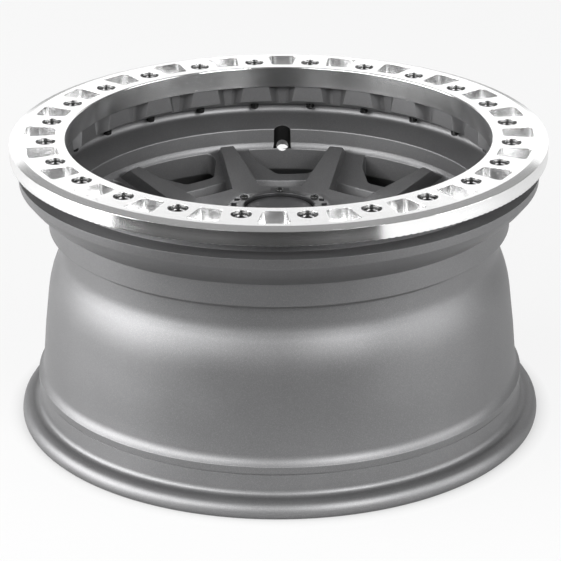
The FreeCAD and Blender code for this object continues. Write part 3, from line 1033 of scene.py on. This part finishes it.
@dataclass
class Studio:
    """Pale floor, soft lamps and a plain world.

    The camera sees the floor as white paper by the share floor_glow, and reflections see it so by
    glossy_share of that. From the radius shade_outer in to shade_inner a painted shadow fades it to black
    under the wheel. The lamps face a point on the wheel's axis at the height aim.
    """

    floor_size: float = 12.0
    floor_grey: float = 0.6
    floor_glow: float = 0.88
    paper_white: float = 0.95
    glossy_share: float = 0.26
    shade_inner: float = 0.21
    shade_outer: float = 0.25
    black: float = 0.02
    world_grey: float = 0.07
    flag_inner: float = 0.42
    flag_outer: float = 2.6
    flag_left: float = math.radians(62.0)
    flag_right: float = math.radians(38.0)
    flag_height: float = 4.0 * MM
    flag_steps: int = 12
    aim: float = 0.15
    lamps: tuple[Softbox, ...] = (
        Softbox("left softbox", (-2.3, -0.3, 0.85), 2.5, 1.3, 116.0),
        Softbox("front left softbox", (-1.5, -2.1, 1.6), 1.9, 0.9, 78.0),
        Softbox("front right softbox", (1.3, -2.0, 1.5), 1.2, 0.8, 76.0),
        Softbox("right softbox", (2.0, -0.4, 0.8), 1.2, 1.3, 30.0),
        Softbox("back softbox", (0.0, 2.3, 0.85), 4.8, 1.0, 22.0),
        Softbox("upper back softbox", (0.0, 1.77, 1.57), 3.4, 0.7, 2.6),
        Softbox("top softbox", (0.0, 1.3, 2.0), 3.2, 0.6, 2.2),
        Softbox("overhead softbox", (0.0, 0.3, 2.9), 2.4, 2.4, 5.0),
    )

    def build(self) -> None:
        """Sets the floor, the lamps and the world."""
        target = Vector((0.0, 0.0, self.aim))
        for lamp in self.lamps:
            lamp.build(target)
        self._floor()
        self._flag()
        self._world()
        bpy.context.scene.view_settings.view_transform = "Standard"

    def _floor(self) -> None:
        """Adds the floor under the wheel."""
        half = self.floor_size / 2.0
        corners = [(-half, -half, 0.0), (half, -half, 0.0), (half, half, 0.0), (-half, half, 0.0)]
        made, graph = new_material("floor")
        path = graph.node("ShaderNodeLightPath")
        seen = (Value(graph, path.outputs["Is Camera Ray"])
                + Value(graph, path.outputs["Is Glossy Ray"]) * self.glossy_share).clamped()
        place = graph.value("ShaderNodeTexCoord", output="Object")
        reach = graph.value("ShaderNodeVectorMath", {"operation": "LENGTH"}, {0: place}, "Value")
        # Painted shadow: under the wheel the floor is mixed to black and its glow fades out.
        outside_painted_shadow = ((reach - self.shade_inner) / (self.shade_outer - self.shade_inner)).clamped()
        glow = graph.node("ShaderNodeEmission", None, {"Strength": self.paper_white})
        paper = graph.node("ShaderNodeMixShader", None, {
            0: outside_painted_shadow, 1: graph.matt(self.black), 2: graph.matt(self.floor_grey)})
        both = graph.node("ShaderNodeMixShader", None, {
            0: seen * outside_painted_shadow * self.floor_glow, 1: paper.outputs[0], 2: glow.outputs[0]})
        graph.node("ShaderNodeOutputMaterial", None, {"Surface": both.outputs[0]})
        floor = self._sheet("floor", corners, made)

    def _flag(self) -> None:
        """Lays a black flag on the floor before the wheel, which only reflections see."""
        across = [i / self.flag_steps for i in range(self.flag_steps + 1)]
        corners = []
        for radius, shares in ((self.flag_inner, across), (self.flag_outer, reversed(across))):
            for share in shares:
                angle = -self.flag_left + (self.flag_left + self.flag_right) * share
                corners.append((radius * math.sin(angle), -radius * math.cos(angle), self.flag_height))
        made, graph = new_material("flag")
        graph.node("ShaderNodeOutputMaterial", None, {"Surface": graph.matt(self.black)})
        flag = self._sheet("flag", corners, made)
        flag.visible_camera = False
        flag.visible_shadow = False

    @staticmethod
    def _sheet(name: str, corners: Sequence[tuple[float, float, float]],
               made: bpy.types.Material) -> bpy.types.Object:
        """A flat sheet of one face.

        Args:
            name: The sheet's name.
            corners: Its corners in order.
            made: Its material.

        Returns:
            The sheet.
        """
        mesh = bpy.data.meshes.new(name)
        mesh.from_pydata(corners, [], [tuple(range(len(corners)))])
        mesh.materials.append(made)
        return new_object(name, mesh)

    def _world(self) -> None:
        """Sets the plain world, white where the camera sees it."""
        world = bpy.data.worlds.new("world")
        bpy.context.scene.world = world
        world.use_nodes = True
        graph = Graph(world.node_tree)
        seen = graph.value("ShaderNodeLightPath", output="Is Camera Ray")
        strength = self.world_grey + seen * (1.0 - self.world_grey)
        light = graph.node("ShaderNodeBackground", None, {
            "Color": (1.0, 1.0, 1.0, 1.0), "Strength": strength})
        graph.node("ShaderNodeOutputWorld", None, {"Surface": light.outputs[0]})


@dataclass
class Casting:
    """The wheel itself, cast and turned in one."""

    edge: float = 0.4 * MM
    face_edge: float = 1.1 * MM

    def build(self) -> None:
        """Eases the casting."""
        EasedNode("wheel", PAINT, Slot.PAINT, self.edge, face_edge=self.face_edge).build()


@dataclass
class BeadlockClamp:
    """The clamp ring and its bolts."""

    edge: float = 0.35 * MM
    least_angle: float = 12.0
    bolts: SocketScrew = SocketScrew(
        name="bolts", node="beadlock_bolts", count=24, circle_r=205.0 * MM, first=TURN / 48.0,
        head_r=6.5 * MM, head_h=8.0 * MM, knurl=0.22 * MM, shank_r=4.0 * MM, pitch=1.25 * MM,
        flats=6.0 * MM, socket_depth=4.0 * MM, sides=36)

    def build(self) -> None:
        """Eases the ring, down to the low angle of its outer bevel, and adds the bolts."""
        EasedNode("beadlock_ring", MACHINED, Slot.MACHINED, self.edge, eased_from=self.least_angle).build()
        self.bolts.build()


@dataclass
class CentreCap:
    """The cap's retaining ring, cup, plate and button head screws."""

    ring_edge: float = 0.3 * MM
    cup_edge: float = 0.2 * MM
    plate_edge: float = 0.2 * MM
    screws: SocketScrew = SocketScrew(
        name="screws", node="cap_screws", count=6, circle_r=36.5 * MM, head_r=3.8 * MM,
        head_h=2.2 * MM, crown=1.7 * MM, shank_r=2.0 * MM, pitch=0.7 * MM, flats=2.5 * MM,
        socket_depth=1.3 * MM, sides=24)

    def build(self) -> None:
        """Eases the cap's three bodies and adds the screws."""
        EasedNode("cap_ring", CAP_PAINT, Slot.PAINT, self.ring_edge).build()
        EasedNode("cap_cup", CUP_BLACK, Slot.CUP, self.cup_edge).build()
        EasedNode("cap_disc", PLATE_GREY, Slot.PLATE, self.plate_edge).build()
        self.screws.build()


def main() -> None:
    """Builds the wheel, the camera and the studio."""
    logging.basicConfig(level=logging.INFO)
    for assembly in (Casting(), BeadlockClamp(), CentreCap(), ClampTeeth()):
        assembly.build()
    PhotoCamera().build()
    Studio().build()


if __name__ == "__main__":
    main()
